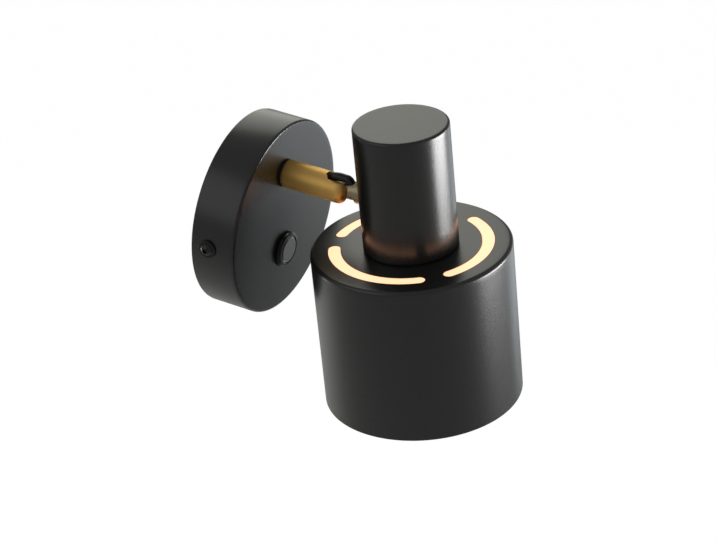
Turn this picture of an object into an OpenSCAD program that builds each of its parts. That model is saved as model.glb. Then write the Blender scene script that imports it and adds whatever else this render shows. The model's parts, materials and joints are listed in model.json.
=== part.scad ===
// Pivoting spotlight wall light. A round wall canopy carries a push switch and a forked brass arm.
// A cup-shaped head with a wide shade tilts on the fork and shines down, and a little light also
// leaves through three curved slots in the top of the shade.
// The wall is the plane y = 0, the room lies towards -Y, X runs along the wall and Z is up.

/* [Wall canopy] */
// Diameter of the round canopy
canopy_d = 100; // [94:1:130]
// How far the canopy's face stands out from the wall
canopy_depth = 23.7; // [22:0.1:34]
// Thickness of the canopy's metal
canopy_wall = 1.5; // [1:0.1:2]
// Rounding of the canopy's front edge
canopy_edge_r = 1.2; // [0.6:0.1:2]

/* [Wall bracket] */
// Height of the strap that is screwed to the wall
strap_w = 18; // [16:1:22]
// Thickness of the bracket's steel
bracket_t = 1.5; // [1.2:0.1:2]
// Distance between the two wall screw holes
wall_hole_spacing = 60; // [56:1:70]
// Diameter of each wall screw hole
wall_hole_d = 4.5; // [4:0.1:5.5]
// Height of the ears that the canopy is screwed to
ear_w = 12; // [10:1:16]
// How far the ears stand out from the wall
ear_depth = 14; // [12:1:18]
// Diameter of the cable hole in the middle of the strap
cable_hole_d = 12; // [10:0.5:13]
// Diameter of the hole through the rubber grommet
grommet_bore_d = 7; // [5:0.5:8]
// Thickness of the grommet's flange
grommet_flange_t = 1; // [0.8:0.1:2]
// How far the grommet's flange laps over the strap
grommet_lap = 1.6; // [1:0.1:2]

/* [Canopy screws] */
// Distance of the two side screws from the wall
side_screw_out = 9.4; // [8:0.1:10.5]
// How far the two side screws lie above the canopy's centre
side_screw_rise = 2.4; // [0:0.1:3]
// Diameter of the side screws
side_screw_d = 4; // [3:0.5:5]
// Diameter of a side screw's head
side_head_d = 6.6; // [6:0.1:8]
// Height of a side screw's head
side_head_h = 2.2; // [1.8:0.1:2.6]
// Width across the flats of the side screws' sockets
side_socket_w = 2.5; // [2:0.1:3]
// Diameter of the black washers under the side screws
side_washer_d = 9.4; // [8:0.1:10]
// Thickness of the black washers
side_washer_t = 0.8; // [0.5:0.1:1.5]

/* [Arm] */
// Diameter of the brass arm
arm_d = 14.4; // [14:0.1:16]
// Height of the arm above the canopy's centre
arm_rise = 25.3; // [22:0.1:30]
// Distance from the wall to the pivot
pivot_out = 53.2; // [50:0.1:70]
// Thickness of the black spacer under the arm
spacer_t = 1; // [1:0.1:3]
// Diameter of the threaded stub behind the arm
stub_d = 10; // [9:0.5:11]
// Length of the stub that stands out behind the canopy's face
stub_out = 6.5; // [5.5:0.1:9]
// Diameter of the lead's bore along the arm
arm_bore_d = 5; // [4.8:0.1:5.4]
// Thickness of the toothed washer behind the canopy's face
lock_washer_t = 0.8; // [0.5:0.1:1.5]
// Diameter of the toothed washer
lock_washer_d = 16; // [14:0.5:18]
// Width across the flats of the arm's nut
arm_nut_w = 14; // [13:0.5:17]
// Thickness of the arm's nut
arm_nut_t = 3; // [2:0.1:4]
// Width of the slot in the fork
fork_slot_w = 5.4; // [5.2:0.1:6]
// Distance from the pivot to the closed end of the fork's slot
fork_slot_back = 5.8; // [5.6:0.1:8]
// Slope of the drilled way that the lead takes up to the fork's slot
ramp_angle = 20; // [18:1:24]
// Rounding of the arm's end
arm_end_r = 5.8; // [5:0.1:7]
// Height of the flat on top of the fork above the pivot
fork_flat_rise = 5.2; // [4.8:0.1:6]
// Radius of the flat's round end
fork_flat_r = 5; // [4:0.1:5.4]

/* [Knuckle] */
// Clearance on each side of the knuckle's tab in the fork
tab_side_gap = 0.1; // [0.05:0.05:0.3]
// Height of the knuckle's tab
tab_h = 7.2; // [6.6:0.1:7.6]
// Distance from the pivot to the outside of the neck
knuckle_reach = 15.5; // [15:0.1:22]
// Height of the pivot above the top of the shade
knuckle_rise = 24.2; // [24:0.1:32]
// Diameter of the knuckle's round bar between the fork and the collar
bar_d = 9.2; // [8:0.1:10]
// Distance from the pivot to the start of the round bar
bar_start = 8.2; // [8.1:0.1:9]
// Diameter of the knuckle's round collar
collar_d = 12; // [11:0.1:14]
// Thickness of the collar where it meets the neck
collar_t = 3.7; // [2.5:0.1:4]
// Diameter of the threaded stem through the neck's wall
stem_d = 8; // [7:0.5:9]
// Diameter of the lead's bore through the knuckle
knuckle_bore_d = 4.8; // [4.7:0.1:5]
// Slope of the hole where the lead dives into the knuckle
mouth_angle = 60; // [52:1:64]
// Diameter of the pivot screw
pivot_d = 4; // [3:0.5:4.5]
// Diameter of the pivot screw's head
pivot_head_d = 6.8; // [6:0.1:7.4]
// Height of the pivot screw's head
pivot_head_t = 1.6; // [1:0.1:2]
// Width across the flats of the pivot screw's socket
pivot_socket_w = 2.5; // [2:0.1:3]
// Width across the flats of the nut inside the neck
stem_nut_w = 13; // [12:0.5:14]
// Thickness of the nut inside the neck
stem_nut_t = 3; // [2.5:0.1:4]
// Diameter of the curved washer inside the neck
saddle_washer_d = 14; // [13:0.5:16]

/* [Head] */
// How far the lower end of the head leans out from upright, in degrees
head_tilt = 7.6; // [0:0.1:20]
// Diameter of the narrow neck
neck_d = 46.9; // [44:0.1:60]
// Height of the neck
neck_h = 64.3; // [60:0.1:90]
// Thickness of the neck's metal
neck_wall = 1.5; // [1:0.1:1.8]
// Rounding of the neck's top edge
neck_edge_r = 1.3; // [0.5:0.1:3]
// Rounding of the neck's foot
neck_foot_r = 1; // [0.4:0.1:1.2]
// Diameter of the shade
shade_d = 99.3; // [96:0.1:120]
// Height of the shade
shade_h = 81.8; // [76:0.1:110]
// Thickness of the shade's metal
shade_wall = 1.2; // [0.8:0.1:2]
// Rounding of the shade's top edge
shade_edge_r = 2; // [1:0.1:4]

/* [Light slots] */
// Number of curved slots in the top of the shade
slot_count = 3; // [2:1:3]
// Distance from the shade's outside to the middle of the slots
slot_inset = 12; // [10:0.5:16]
// Width of the slots
slot_w = 6; // [4:0.5:8]
// Width of the metal bridges between the slots
slot_bridge = 9.2; // [6:0.1:20]
// Angle of the first slot's middle, from X towards the wall
slot_turn = 45; // [0:1:120]
// Thickness of the opal diffuser plate
diffuser_t = 2; // [1.5:0.1:3]
// How far the diffuser reaches past the outside of the slots
diffuser_lap = 4; // [2:0.1:5]
// How far the diffuser's raised arcs lie below the shade's top
diffuser_drop = 0.2; // [0.1:0.1:0.6]
// Clearance around the diffuser's raised arcs
diffuser_gap = 0.1; // [0.05:0.05:0.3]

/* [Lampholder] */
// Diameter of the lampholder's threaded skirt
holder_d = 28; // [27:0.5:30]
// How far the skirt reaches below the top of the shade
holder_skirt = 16; // [15:0.5:20]
// Height of the lampholder's body above the shade
holder_rise = 5; // [4.5:0.1:6]
// Diameter of the flange that rests on the shade
holder_flange_d = 34; // [32:0.5:40]
// Thickness of that flange
holder_flange_t = 1.6; // [1:0.1:2.5]
// Thickness of the skirt's outer wall
skirt_wall = 1.8; // [1.4:0.1:2.2]
// Thickness of the inner sleeve around the screw shell
sleeve_wall = 1.4; // [1:0.1:1.6]
// Thickness of the insulating base above the screw shell
holder_base_t = 2.5; // [2:0.1:3.5]
// Height of the lampholder's conical cap
holder_cap_h = 11; // [10:0.5:12]
// Diameter of the cap's flat top
holder_cap_top_d = 16; // [15:0.5:18]
// Thickness of the cap's wall
holder_cap_wall = 1.5; // [1.2:0.1:2]
// Height of the threaded boss inside the cap
cap_boss_h = 4.5; // [3:0.5:5]
// Diameter of the hollow threaded nipple
nipple_d = 10; // [9:0.5:11]
// Diameter of the nipple's bore
nipple_bore_d = 5; // [4.6:0.1:6]
// How far the nipple stands above its nut
nipple_out = 2.5; // [1:0.5:4]
// Width across the flats of the nipple's nut
nipple_nut_w = 14; // [13:0.5:17]
// Thickness of the nipple's nut
nipple_nut_t = 3; // [2:0.1:4]
// Thickness of the angle bracket inside the neck
angle_t = 1.5; // [1.2:0.1:2]
// Width of the angle bracket
angle_w = 14; // [13:0.5:16]
// Outer diameter of the ring that clamps the shade
shade_ring_d = 38; // [36:0.5:44]
// Height of the shade ring
shade_ring_h = 5; // [4:0.5:8]
// Number of grip notches around the shade ring
ring_notches = 12; // [6:1:16]

/* [Lamp] */
// Diameter of the globe of the lamp
bulb_d = 45; // [40:1:46]
// Length of the lamp from its contact to its end
bulb_len = 74; // [66:1:80]
// Middle diameter of the lampholder's screw shell
thread_d = 14.6; // [14.4:0.1:15]
// Depth of the screw thread
thread_depth = 0.6; // [0.4:0.1:0.8]
// Pitch of the screw thread
thread_pitch = 2.82; // [2.6:0.01:3]
// Thickness of the screw shells
thread_shell_t = 0.4; // [0.3:0.1:0.5]
// Clearance between the lamp's cap and the screw shell
thread_gap = 0.2; // [0.1:0.05:0.3]

/* [Push switch] */
// How far the switch lies below the canopy's centre
switch_drop = 18.5; // [17:0.5:22]
// How far the switch's flange laps over its hole in the canopy, all round
switch_flange_lap = 0.9; // [0.6:0.05:2.6]
// Height of the flange
switch_flange_h = 1.7; // [1.5:0.1:3]
// Thickness of the raised lip around the button
switch_lip_t = 1.65; // [1.15:0.05:1.85]
// Height of the lip above the flange
switch_lip_h = 0.8; // [0.8:0.1:2]
// Thickness of the switch barrel's wall
switch_barrel_t = 0.85; // [0.85:0.05:1.25]
// Diameter of the push button
button_d = 14; // [12:0.1:14]
// How far the button stands out of the lip
button_proud = 0.3; // [0:0.1:2]
// How far the button travels
button_travel = 2; // [1:0.1:3]
// Rounding of the button's edge
button_edge_r = 0.6; // [0.3:0.1:1]
// Width of the collar that keeps the button in
button_collar = 0.5; // [0.3:0.05:0.55]
// Height of that collar
button_collar_h = 2; // [1.5:0.1:2.5]
// Distance from the wall to the back of the switch
switch_back = 9; // [8:0.5:10]
// Thickness of the switch's closed back
switch_back_t = 5; // [4:0.5:6]
// Thickness of the switch's nut at the middle of its flats
switch_nut_flat_t = 2.05; // [1.55:0.05:2.55]
// Thickness of the switch's nut
switch_nut_t = 3; // [2:0.1:4]
// Wire diameter of the button's spring
spring_wire_d = 0.6; // [0.4:0.1:0.8]
// Diameter of the spring along its wire
spring_d = 9; // [7:0.5:10]
// Number of turns of the spring
spring_turns = 5; // [4:1:6]
// Width of each contact blade
blade_w = 4.8; // [4:0.1:5.5]
// Thickness of each contact blade
blade_t = 0.8; // [0.5:0.1:1]
// Distance between the two contact blades
blade_spacing = 7; // [6:0.5:8]
// How far the blades stand out behind the switch
blade_out = 4; // [3:0.5:4.5]
// How far the blades reach into the switch
blade_in = 2; // [1:0.5:3]

/* [Terminal block] */
// Width of the terminal block
block_w = 15; // [14:1:16]
// Height of the terminal block
block_h = 16; // [14:1:18]
// Depth of the terminal block
block_depth = 11; // [9:1:12]
// Distance from the canopy's centre to the block's middle
block_side = 17; // [16.5:0.5:17.5]
// Distance between the block's two poles
pole_spacing = 7.5; // [7:0.5:8]
// Distance between the two clamp screws of a pole
clamp_spacing = 9; // [8:0.5:10]
// Diameter of the clamp screws
clamp_screw_d = 3; // [2.5:0.5:3.5]
// Depth of the screw wells in the block
clamp_well = 4; // [3:0.5:5]
// Distance from the strap to the middle of the wire entries
entry_out = 4; // [3.5:0.5:5]
// Diameter of the wire entries
entry_d = 2.4; // [2:0.1:3]
// Depth of the wire entries
entry_depth = 3; // [2:0.5:4]
// Distance from the canopy's centre to the earth screw
earth_side = 16; // [14:0.5:18]
// Diameter of the earth screw
earth_screw_d = 4; // [3:0.5:4]
// Diameter of the earth screw's head
earth_head_d = 8; // [7:0.5:9]
// Height of the earth screw's head
earth_head_h = 2.6; // [2:0.1:3]

/* [Leads] */
// Diameter of the sheathed lead through the arm
lead_d = 4.2; // [3.8:0.1:4.3]
// Diameter of each insulated core
core_d = 1.2; // [1:0.1:1.2]
// Length of the sheathed lead that shows behind the stub
lead_tail = 2.5; // [1:0.5:4]
// Radius of the lead's loop inside the neck
lead_loop_r = 4.3; // [4:0.1:5]
// Height of the straight stretch of that loop
lead_loop_rise = 5; // [3:0.5:9]

/* [Hidden] */

$fn = 96;

// Clearances and the overrun of cuts
fit_gap = 0.05;
hole_gap = 0.2;
bracket_gap = 0.3;
cut = 1;

// Radii and places on the wall side
canopy_r = canopy_d / 2;
face_in = canopy_depth - canopy_wall;
strap_x = sqrt(pow(canopy_r - canopy_wall, 2) - pow(strap_w / 2, 2)) - bracket_gap;
arm_r = arm_d / 2;
arm_foot = canopy_depth + spacer_t;
stub_end = face_in - stub_out;
fork_end_centre = pivot_out - fork_slot_back + fork_slot_w / 2;
lead_r = lead_d / 2;
core_r = core_d / 2;

// Way of the lead over the pivot, as places along the arm and up from the pivot
ramp_top = [-fork_slot_back + fit_gap, 1.05 * tab_h / 2];
ramp_foot = ramp_top - ramp_top[1] * [1 / tan(ramp_angle), 1];
crest = [0.5 * tab_h, 0.92 * tab_h];

// Places on the head, with z = 0 at the top of the shade and +Y towards the wall
neck_r = neck_d / 2;
neck_in_r = neck_r - neck_wall;
pivot_y = neck_r + knuckle_reach;
tab_t = fork_slot_w - 2 * tab_side_gap;
mouth_y = neck_r + 1.35 * collar_t;
washer_y = sqrt(pow(neck_in_r, 2) - pow(saddle_washer_d / 2, 2)) - canopy_wall / 2;
angle_y = washer_y - angle_t;
stem_end = angle_y - stem_nut_t - cut / 2;
shade_r = shade_d / 2;
holder_r = holder_d / 2;
holder_top = holder_rise + holder_cap_h;
nipple_top = holder_top + angle_t + nipple_nut_t + nipple_out;
nipple_foot = holder_top - cap_boss_h;
shell_top = holder_rise - holder_base_t;
thread_r = thread_d / 2;
sleeve_r = thread_r + (thread_depth + thread_shell_t) / 2 + hole_gap;
lamp_r = thread_r - thread_shell_t - thread_gap;
contact_t = thread_shell_t;
lamp_tip = shell_top - contact_t;
pip_h = 2 * thread_shell_t;
insulator_h = 2 * pip_h;
cap_top = lamp_tip - pip_h - insulator_h;
cap_foot = -holder_skirt - cut;
diffuser_top = -shade_wall;
slot_mid_d = shade_d - 2 * slot_inset;
slot_half = 180 / slot_count - asin((slot_bridge + slot_w) / slot_mid_d);

// Places in the switch, as distances from the wall
flange_out = canopy_depth + switch_flange_h;
lip_out = flange_out + switch_lip_h;
lip_stop = lip_out - switch_lip_h - fit_gap;
button_r = button_d / 2;
switch_barrel_d = 2 * (button_r + button_collar + fit_gap + switch_barrel_t);
switch_flange_d = switch_barrel_d + 2 * switch_flange_lap;
switch_lip_d = 2 * (button_r + fit_gap + switch_lip_t);
switch_nut_w = switch_barrel_d + 2 * (fit_gap + switch_nut_flat_t);
button_foot = lip_stop - fit_gap - button_collar_h;
pocket_floor = switch_back + switch_back_t;

function unit(v) = v / norm(v);

// Direction of a route at one of its points
function heading(p, i) = unit(p[min(i + 1, len(p) - 1)] - p[max(i - 1, 0)]);

// Sideways directions that are carried along a route without twisting
function sides_along(p, a, i = 0) =
    i >= len(p) ? [] :
    let (d = heading(p, i), b = unit(a - (a * d) * d))
    concat([b], sides_along(p, b, i + 1));

// Point on a smooth curve through b and c
function curve_point(a, b, c, d, t) =
    b + (c - a) * t / 2 + (2 * a - 5 * b + 4 * c - d) * pow(t, 2) / 2
    + (3 * b - a - 3 * c + d) * pow(t, 3) / 2;

// Evenly spaced points on a straight stretch
function straight(a, b, n) = [for (i = [0:n]) a + (b - a) * i / n];

// Smooth route through hand-picked points
function smooth_route(p, steps) = [
    for (i = [0:len(p) - 2], k = [0:steps - 1])
        curve_point(p[max(i - 1, 0)], p[i], p[i + 1], p[min(i + 2, len(p) - 1)], k / steps),
    p[len(p) - 1]
];

// Round tube along a route, starting from the sideways direction a
module tube(p, r, a, sides = 8) {
    side = sides_along(p, a);
    corner = 360 / sides;
    points = [for (i = [0:len(p) - 1], k = [0:sides - 1])
        p[i] + r * (cos(k * corner) * side[i] + sin(k * corner) * cross(heading(p, i), side[i]))];
    walls = [for (i = [0:len(p) - 2], k = [0:sides - 1])
        let (a = i * sides + k, b = i * sides + (k + 1) % sides)
        each [[a, a + sides, b + sides], [a, b + sides, b]]];
    last = (len(p) - 1) * sides;
    ends = [[for (k = [0:sides - 1]) k], [for (k = [sides - 1:-1:0]) last + k]];
    polyhedron(points, concat(walls, ends));
}

// Turns a piece that is drawn standing up so that it points from the wall into the room
module room_side() rotate([90, 0, 0]) children();

// Sets a piece of the head into its place at the end of the arm
module on_head()
    translate([0, -pivot_out, arm_rise])
        rotate([-head_tilt, 0, 0])
            translate([0, -pivot_y, -knuckle_rise])
                children();

// Place in the room of a point given on the head
function from_head(p) = let (y = p[1] - pivot_y, z = p[2] - knuckle_rise)
    [p[0], y * cos(head_tilt) + z * sin(head_tilt) - pivot_out,
        z * cos(head_tilt) - y * sin(head_tilt) + arm_rise];

// Place in the room of a point given along the arm and up from the pivot
function over_pivot(p) = [0, -pivot_out - p[0], arm_rise + p[1]];

// Outside of a rounded corner, to be cut away
module corner_cut(r)
    difference() {
        square(r + cut);
        circle(r);
    }

// Half section of a round block with a rounded top edge and a rounded foot
module rounded_half(r, h, edge = 0, foot = 0)
    difference() {
        square([r, h]);
        if (edge > 0) translate([r - edge, h - edge]) corner_cut(edge);
        if (foot > 0) translate([r - foot, foot]) mirror([0, 1]) corner_cut(foot);
    }

// Round cup that stands on its open mouth
module cup(d, h, wall, edge, foot = 0)
    rotate_extrude()
        difference() {
            rounded_half(d / 2, h, edge, foot);
            translate([0, -cut]) rounded_half(d / 2 - wall, h - wall + cut, max(edge - wall, 0));
        }

// Flat ring
module ring(d, bore, h)
    difference() {
        cylinder(d = d, h = h);
        translate([0, 0, -cut]) cylinder(d = bore, h = h + 2 * cut);
    }

// Hexagonal nut
module hex_nut(width, bore, h)
    difference() {
        cylinder(d = width / cos(30), h = h, $fn = 6);
        translate([0, 0, -cut]) cylinder(d = bore, h = h + 2 * cut);
    }

// Domed screw head with a hexagonal socket
module socket_head(d, h, socket)
    difference() {
        rotate_extrude()
            intersection() {
                translate([0, h - (pow(d / 2, 2) + pow(h, 2)) / (2 * h)])
                    circle((pow(d / 2, 2) + pow(h, 2)) / (2 * h));
                square([d / 2, h]);
            }
        translate([0, 0, h / 2]) cylinder(d = socket / cos(30), h = h, $fn = 6);
    }

// Thin shell with rounded screw threads, between two heights
module threaded_shell(r, foot, top, t) {
    steps = 8 * round((top - foot) / thread_pitch);
    function wave(z) = r + thread_depth / 2 * cos(360 * (z - shell_top) / thread_pitch);
    heights = [for (i = [0:steps]) foot + (top - foot) * i / steps];
    rotate_extrude()
        polygon(concat([for (z = heights) [wave(z), z]],
            [for (i = [steps:-1:0]) [wave(heights[i]) - t, heights[i]]]));
}

// Curved slots around the head's axis, with round ends
module slot_arcs(w, h)
    for (k = [0:slot_count - 1])
        rotate([0, 0, slot_turn + k * 360 / slot_count]) {
            rotate([0, 0, -slot_half])
                rotate_extrude(angle = 2 * slot_half)
                    translate([(slot_mid_d - w) / 2, 0]) square([w, h]);
            for (side = [-1, 1])
                rotate([0, 0, side * slot_half])
                    translate([slot_mid_d / 2, 0, 0]) cylinder(d = w, h = h);
        }

// Steel strap on the wall with two ears for the canopy's screws
module wall_bracket()
    color("silver")
        difference() {
            union() {
                translate([-strap_x, -bracket_t, -strap_w / 2])
                    cube([2 * strap_x, bracket_t, strap_w]);
                for (side = [0, 1])
                    mirror([side, 0, 0])
                        translate([strap_x - bracket_t, -ear_depth, side_screw_rise - ear_w / 2])
                            cube([bracket_t, ear_depth, ear_w]);
            }
            room_side() translate([0, 0, -cut]) {
                cylinder(d = cable_hole_d, h = bracket_t + 2 * cut);
                translate([-earth_side, 0, 0])
                    cylinder(d = earth_screw_d, h = bracket_t + 2 * cut);
                for (side = [-1, 1])
                    translate([side * wall_hole_spacing / 2, 0, 0])
                        cylinder(d = wall_hole_d, h = bracket_t + 2 * cut);
            }
            translate([-strap_x - cut, -side_screw_out, side_screw_rise])
                rotate([0, 90, 0]) cylinder(d = side_screw_d, h = 2 * (strap_x + cut));
        }

// Rubber grommet where the supply cable comes out of the wall
module cable_grommet()
    color("#1c1c1c")
        room_side()
            difference() {
                union() {
                    cylinder(d = cable_hole_d - 2 * fit_gap, h = bracket_t);
                    translate([0, 0, bracket_t])
                        cylinder(d = cable_hole_d + 2 * grommet_lap, h = grommet_flange_t);
                }
                translate([0, 0, -cut])
                    cylinder(d = grommet_bore_d, h = bracket_t + grommet_flange_t + 2 * cut);
            }

// Earth screw in the strap
module earth_screw()
    color("#c9a24b")
        room_side()
            translate([-earth_side, 0, 0]) {
                cylinder(d = earth_screw_d - 2 * fit_gap, h = bracket_t + cut / 2);
                translate([0, 0, bracket_t])
                    socket_head(earth_head_d, earth_head_h, earth_screw_d / 2);
            }

// Places of the clamp screws on the terminal block
module at_clamps()
    for (pole = [-1, 1], row = [-1, 1])
        translate([block_side + pole * pole_spacing / 2, row * clamp_spacing / 2, 0])
            children();

// Two-pole terminal block on the strap
module terminal_block()
    color("#e6e2d6")
        room_side()
            difference() {
                translate([block_side - block_w / 2, -block_h / 2, bracket_t])
                    cube([block_w, block_h, block_depth]);
                translate([0, 0, bracket_t + block_depth - clamp_well])
                    at_clamps() cylinder(d = clamp_screw_d + 2 * hole_gap, h = clamp_well + cut);
                for (pole = [-1, 1], end = [-1, 1])
                    translate([block_side + pole * pole_spacing / 2, end * block_h / 2,
                            bracket_t + entry_out])
                        rotate([90, 0, 0])
                            cylinder(d = entry_d, h = 2 * entry_depth, center = true);
            }

// Clamp screws down in the wells of the terminal block
module terminal_screws()
    color("#b9b9b4")
        room_side()
            translate([0, 0, bracket_t + block_depth - clamp_well])
                at_clamps()
                    difference() {
                        cylinder(d = clamp_screw_d, h = clamp_well / 2);
                        translate([-clamp_screw_d, -clamp_screw_d / 10, clamp_well / 3])
                            cube([2 * clamp_screw_d, clamp_screw_d / 5, clamp_well]);
                    }

// Black round cover over the wall fixing
module canopy()
    color("#2b2d2b")
        difference() {
            room_side() cup(canopy_d, canopy_depth, canopy_wall, canopy_edge_r);
            room_side() {
                translate([0, arm_rise, face_in - cut])
                    cylinder(d = stub_d + 2 * hole_gap, h = canopy_wall + 2 * cut);
                translate([0, -switch_drop, face_in - cut])
                    cylinder(d = switch_barrel_d + 2 * hole_gap, h = canopy_wall + 2 * cut);
            }
            translate([-canopy_r - cut, -side_screw_out, side_screw_rise])
                rotate([0, 90, 0])
                    cylinder(d = side_screw_d + 2 * hole_gap, h = 2 * (canopy_r + cut));
        }

// Places of the two side screws, pointing out of the canopy's rim
module at_side_screws()
    for (side = [0, 1])
        mirror([side, 0, 0])
            translate([canopy_r, -side_screw_out, side_screw_rise])
                rotate([0, 90, 0]) children();

// Black washers under the side screws
module canopy_washers()
    color("#111111")
        at_side_screws() ring(side_washer_d, side_screw_d + 2 * hole_gap, side_washer_t);

// Side screws that hold the canopy to the bracket's ears
module canopy_screws()
    color("#3a3a38")
        at_side_screws() {
            translate([0, 0, side_washer_t])
                socket_head(side_head_d, side_head_h, side_socket_w);
            translate([0, 0, strap_x - canopy_r - 2 * bracket_t])
                cylinder(d = side_screw_d - 2 * fit_gap,
                    h = canopy_r - strap_x + 2 * bracket_t + side_washer_t + fit_gap);
        }

// Black spacer ring between the canopy and the arm
module arm_spacer()
    color("#141414")
        room_side()
            translate([0, arm_rise, canopy_depth]) ring(arm_d, stub_d + 2 * hole_gap, spacer_t);

// Sloping way that the lead takes from the arm's bore up to the fork's slot
module lead_ramp(d)
    translate(over_pivot(ramp_foot))
        rotate([90 - ramp_angle, 0, 0])
            cylinder(d = d, h = fork_slot_back + norm(ramp_top - ramp_foot));

// Turned brass arm with a threaded stub at the back and a slotted ball end
module arm()
    color("#a8834a")
        difference() {
            union() {
                room_side() translate([0, arm_rise, 0]) {
                    translate([0, 0, stub_end])
                        cylinder(d = stub_d, h = arm_foot - stub_end + fit_gap);
                    translate([0, 0, arm_foot])
                        rotate_extrude() rounded_half(arm_r, pivot_out + arm_r - arm_foot, arm_end_r);
                }
            }
            // Bore for the lead, with its sloping end
            room_side()
                translate([0, arm_rise, stub_end - cut])
                    cylinder(d = arm_bore_d, h = pivot_out + ramp_foot[0] - stub_end + 2 * cut);
            lead_ramp(arm_bore_d + 2 * hole_gap);
            // Flat with a round end on top of the fork
            translate([0, -pivot_out, arm_rise + fork_flat_rise]) {
                cylinder(r = fork_flat_r, h = arm_r);
                translate([-arm_r, -2 * arm_r, 0]) cube([2 * arm_r, 2 * arm_r, arm_r]);
            }
            // Slot with a round closed end
            translate([0, 0, arm_rise - arm_d]) {
                translate([0, -fork_end_centre, 0]) cylinder(d = fork_slot_w, h = 2 * arm_d);
                translate([-fork_slot_w / 2, -pivot_out - arm_d, 0])
                    cube([fork_slot_w, pivot_out + arm_d - fork_end_centre, 2 * arm_d]);
            }
            // Cross hole for the pivot screw, blind on one side
            translate([-arm_r + canopy_wall, -pivot_out, arm_rise])
                rotate([0, 90, 0]) {
                    cylinder(d = pivot_d + 2 * fit_gap, h = arm_d);
                    translate([0, 0, pivot_seat + arm_r - canopy_wall])
                        cylinder(d = pivot_head_d + 2 * hole_gap, h = arm_d);
                }
        }

// Toothed washer behind the canopy's face
module arm_lock_washer()
    color("#9a9a96")
        room_side()
            translate([0, arm_rise, face_in - lock_washer_t])
                ring(lock_washer_d, stub_d + 2 * hole_gap, lock_washer_t);

// Nut that clamps the arm to the canopy
module arm_nut()
    color("#b98f47")
        room_side()
            translate([0, arm_rise, face_in - lock_washer_t - arm_nut_t])
                hex_nut(arm_nut_w, stub_d + 2 * fit_gap, arm_nut_t);

// Distance from the middle of the arm to the seat of the pivot screw's head
pivot_seat = sqrt(pow(arm_r, 2) - pow(pivot_head_d / 2, 2)) - pivot_head_t;

// Screw that the head tilts on, sunk in the far ear of the fork
module pivot_screw()
    color("#8f8b80")
        translate([-arm_r + canopy_wall + fit_gap, -pivot_out, arm_rise])
            rotate([0, 90, 0])
                difference() {
                    union() {
                        cylinder(d = pivot_d, h = pivot_seat + arm_r - canopy_wall);
                        translate([0, 0, pivot_seat + arm_r - canopy_wall - fit_gap])
                            cylinder(d = pivot_head_d, h = pivot_head_t);
                    }
                    translate([0, 0, pivot_seat + arm_r - canopy_wall + pivot_head_t / 3])
                        cylinder(d = pivot_socket_w / cos(30), h = pivot_head_t, $fn = 6);
                }

// Housing of the push switch, with its flange and lip outside the canopy
module switch_housing()
    color("#0f0f10")
        room_side()
            translate([0, -switch_drop, 0])
                difference() {
                    union() {
                        translate([0, 0, switch_back])
                            cylinder(d = switch_barrel_d, h = canopy_depth - switch_back);
                        translate([0, 0, canopy_depth])
                            rotate_extrude()
                                rounded_half(switch_flange_d / 2, switch_flange_h, button_edge_r);
                        translate([0, 0, canopy_depth])
                            rotate_extrude()
                                rounded_half(switch_lip_d / 2, switch_flange_h + switch_lip_h,
                                    button_edge_r / 2);
                    }
                    translate([0, 0, pocket_floor])
                        cylinder(r = button_r + button_collar + fit_gap,
                            h = lip_stop - pocket_floor);
                    translate([0, 0, pocket_floor])
                        cylinder(r = button_r + fit_gap, h = lip_out - pocket_floor + cut);
                    at_blades(blade_t + 2 * fit_gap, blade_w + 2 * fit_gap, blade_in + fit_gap);
                }

// Contact blades reaching a given depth into the back of the switch
module at_blades(t, w, depth)
    for (side = [-1, 1])
        translate([side * blade_spacing / 2 - t / 2, -w / 2, switch_back - blade_out])
            cube([t, w, blade_out + depth]);

// Two contact blades at the back of the switch
module switch_contacts()
    color("#c8a860")
        room_side()
            translate([0, -switch_drop, 0]) at_blades(blade_t, blade_w, blade_in);

// Nut that clamps the switch behind the canopy's face
module switch_nut()
    color("#1a1a1b")
        room_side()
            translate([0, -switch_drop, face_in - switch_nut_t])
                hex_nut(switch_nut_w, switch_barrel_d + 2 * fit_gap, switch_nut_t);

// Coil spring under the push button
module switch_spring() {
    wire_r = spring_wire_d / 2;
    foot = pocket_floor + wire_r;
    rise = button_foot - pocket_floor - spring_wire_d;
    steps = 16 * spring_turns;
    coil = [for (i = [0:steps]) [spring_d / 2 * cos(360 * i / 16),
        spring_d / 2 * sin(360 * i / 16) - switch_drop, foot + rise * i / steps]];
    color("#b5b5b0") room_side() tube(coil, wire_r, [1, 0, 0], 6);
}

// Glossy round push button with the collar that keeps it in
module switch_button()
    color("#5a5c5c")
        room_side()
            translate([0, -switch_drop, button_foot])
                rotate_extrude() {
                    rounded_half(button_r, lip_out + button_proud - button_foot, button_edge_r);
                    square([button_r + button_collar, button_collar_h]);
                }

// Places of the three cores in the end of the sheathed lead
function core_place(k) = 1.3 * core_r * [cos(90 + 120 * k), sin(90 + 120 * k)];

// End of the sheathed lead behind the arm, and a point straight behind it
tail_out = stub_end - lead_tail;
function tail_point(k, out) = [core_place(k)[0], -out, arm_rise + core_place(k)[1]];

// Route of a core, straight out of the sheathed lead's end and then along a given stretch
function core_route(k, stretch) =
    concat([tail_point(k, tail_out - fit_gap)],
        smooth_route(concat([tail_point(k, tail_out - core_d)], stretch), 4));

// Point above an upper entry of the terminal block
function above_block(pole, rise) =
    [block_side + pole * pole_spacing / 2, -bracket_t - entry_out, block_h / 2 + rise];

// Point behind a contact blade of the switch
function behind_blade(side, out) =
    [side * blade_spacing / 2, -switch_back + blade_out - out, -switch_drop];

// Neutral core from the lead to the terminal block
module neutral_wire()
    color("#3e62a8")
        tube(core_route(2, [
            [block_side / 3, -tail_out * 0.7, arm_rise * 0.92],
            above_block(1, arm_rise / 3), above_block(1, arm_rise / 8),
            above_block(1, -entry_depth / 2)]), core_r, [1, 0, 0]);

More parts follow.
